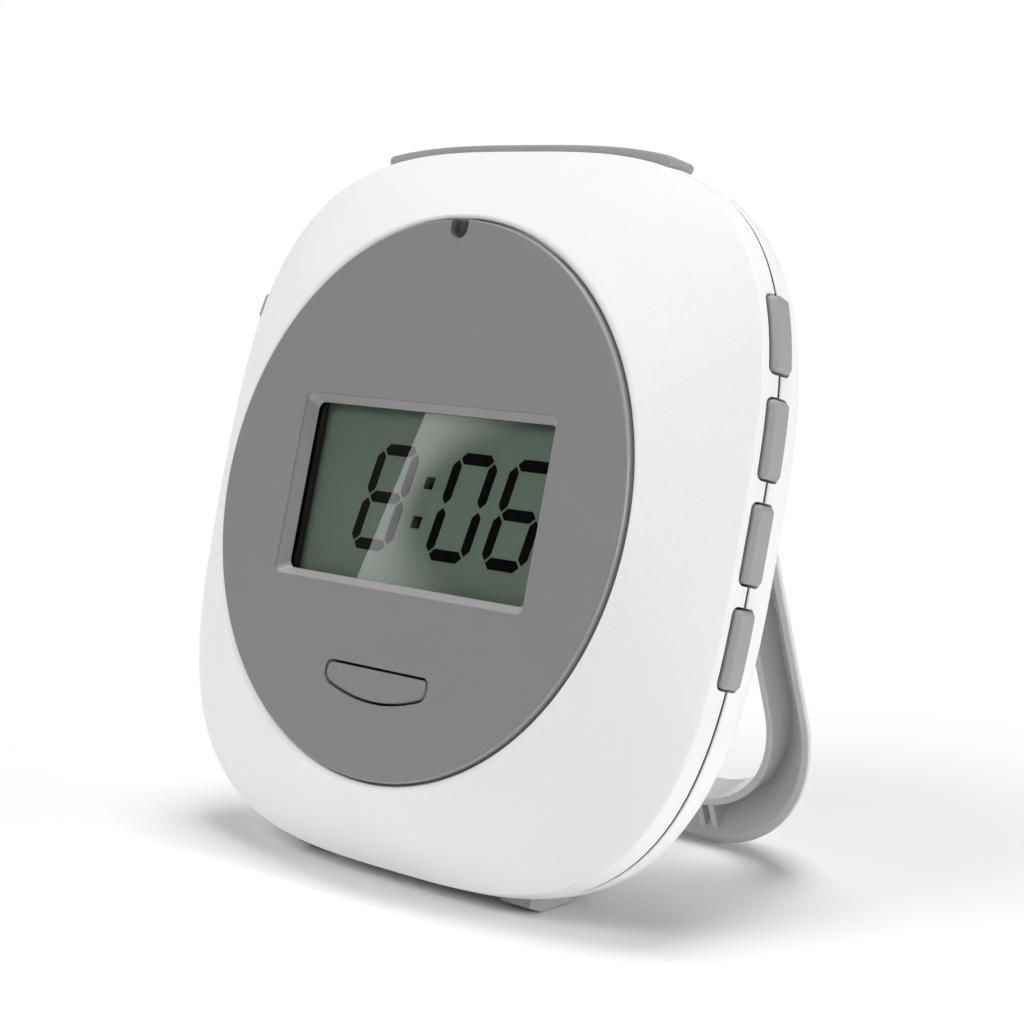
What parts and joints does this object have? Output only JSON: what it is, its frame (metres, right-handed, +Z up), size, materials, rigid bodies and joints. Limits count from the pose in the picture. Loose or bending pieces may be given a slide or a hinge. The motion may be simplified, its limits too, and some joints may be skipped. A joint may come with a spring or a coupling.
{
  "type": "vibrating alarm clock",
  "caption": "Rounded-square bedside alarm clock with a round face panel, small display, top snooze bar, side buttons, vibration motor and fold-out loop stand.",
  "frame": {"origin": "on the floor, under the middle of the standing clock's box", "axes": "+X to the clock's right as its face is read, +Y from its face to its back, +Z up"},
  "size_m": [0.0904, 0.051, 0.088],
  "materials": {
    "white_case": "fine satin moulded white",
    "grey_panel": "satin mid grey",
    "grey_buttons": "satin grey",
    "grey_stand": "satin light grey",
    "clear_lens": "clear polished window",
    "display": "grey-green liquid crystal with dark digits",
    "conductive_rubber": "matt striped rubber",
    "board": "green solder mask",
    "black_plastic": "matt black moulded plastic",
    "cell_wrap": "plain printed sleeve on a steel can",
    "steel": "bright nickel-plated steel",
    "brass": "plain brass",
    "lead_black": "black wire sleeve",
    "lead_red": "red wire sleeve"
  },
  "bodies": {
    "case": {"front_shell": "white_case", "rear_shell": "white_case", "lcd_holder": "white_case", "face_panel": "grey_panel", "foot_left": "grey_stand", "foot_right": "grey_stand", "lcd_lens": "clear_lens", "lcd_glass": "display", "zebra_upper": "conductive_rubber", "zebra_lower": "conductive_rubber", "main_board": "board", "test_switch": "black_plastic", "snooze_switch": "black_plastic", "side_switch_1": "black_plastic", "side_switch_2": "black_plastic", "side_switch_3": "black_plastic", "side_switch_4": "black_plastic", "alarm_switch": "black_plastic", "time_switch": "black_plastic", "controller_chip": "black_plastic", "battery_1": "cell_wrap", "battery_2": "cell_wrap", "contact_bridge": "steel", "contact_negative": "steel", "contact_positive": "steel", "motor_clamp": "steel", "vibration_motor": "steel", "clock_crystal": "steel", "case_screw_1": "steel", "case_screw_2": "steel", "case_screw_3": "steel", "case_screw_4": "steel", "board_screw_1": "steel", "board_screw_2": "steel", "board_screw_3": "steel", "board_screw_4": "steel", "stand_pin_left": "steel", "stand_pin_right": "steel", "piezo_buzzer": "brass", "motor_lead_1": "lead_black", "motor_lead_2": "lead_red"},
    "stand": {"stand": "grey_stand"},
    "snooze": {"snooze_bar": "grey_buttons"},
    "test": {"test_button": "grey_panel"},
    "button_1": {"side_button_1": "grey_buttons"},
    "button_2": {"side_button_2": "grey_buttons"},
    "button_3": {"side_button_3": "grey_buttons"},
    "button_4": {"side_button_4": "grey_buttons"},
    "alarm_slider": {"alarm_knob": "grey_buttons"},
    "time_slider": {"time_knob": "grey_buttons"},
    "rotor": {"motor_shaft": "steel", "eccentric_weight": "brass"},
    "door": {"battery_door": "white_case"}
  },
  "joints": [
    {"name": "stand_hinge", "type": "hinge", "parent": "case", "child": "stand", "pos_m": [0.00017, 0.00935, 0.04923], "axis": [1, 0, 0], "range_deg": [-32, 0]},
    {"name": "snooze_press", "type": "slide", "parent": "case", "child": "snooze", "axis": [0, -0.2588, -0.9659], "range_m": [0, 0.0005], "stiffness_N_per_m": 1500},
    {"name": "test_press", "type": "slide", "parent": "case", "child": "test", "axis": [0, 0.9659, -0.2588], "range_m": [0, 0.0004], "stiffness_N_per_m": 1500},
    {"name": "side_button_1_press", "type": "slide", "parent": "case", "child": "button_1", "axis": [-0.9639, -0.0689, -0.2573], "range_m": [0, 0.0005], "stiffness_N_per_m": 1500},
    {"name": "side_button_2_press", "type": "slide", "parent": "case", "child": "button_2", "axis": [-0.9984, -0.0147, -0.0547], "range_m": [0, 0.0005], "stiffness_N_per_m": 1500},
    {"name": "side_button_3_press", "type": "slide", "parent": "case", "child": "button_3", "axis": [-1, 0, -0.0001], "range_m": [0, 0.0005], "stiffness_N_per_m": 1500},
    {"name": "side_button_4_press", "type": "slide", "parent": "case", "child": "button_4", "axis": [-0.9991, 0.0111, 0.0414], "range_m": [0, 0.0005], "stiffness_N_per_m": 1500},
    {"name": "alarm_slide", "type": "slide", "parent": "case", "child": "alarm_slider", "axis": [-0.1969, -0.2538, -0.947], "range_m": [0, 0.004]},
    {"name": "time_slide", "type": "slide", "parent": "case", "child": "time_slider", "axis": [-0.0809, 0.258, 0.9628], "range_m": [0, 0.002]},
    {"name": "motor_spin", "type": "hinge", "parent": "case", "child": "rotor", "pos_m": [0.00017, 0.00164, 0.06237], "axis": [1, 0, 0], "continuous": true},
    {"name": "battery_door_tilt", "type": "hinge", "parent": "case", "child": "door", "pos_m": [0.00017, -0.00253, 0.01685], "axis": [-1, 0, 0], "range_deg": [0, 60]}
  ]
}
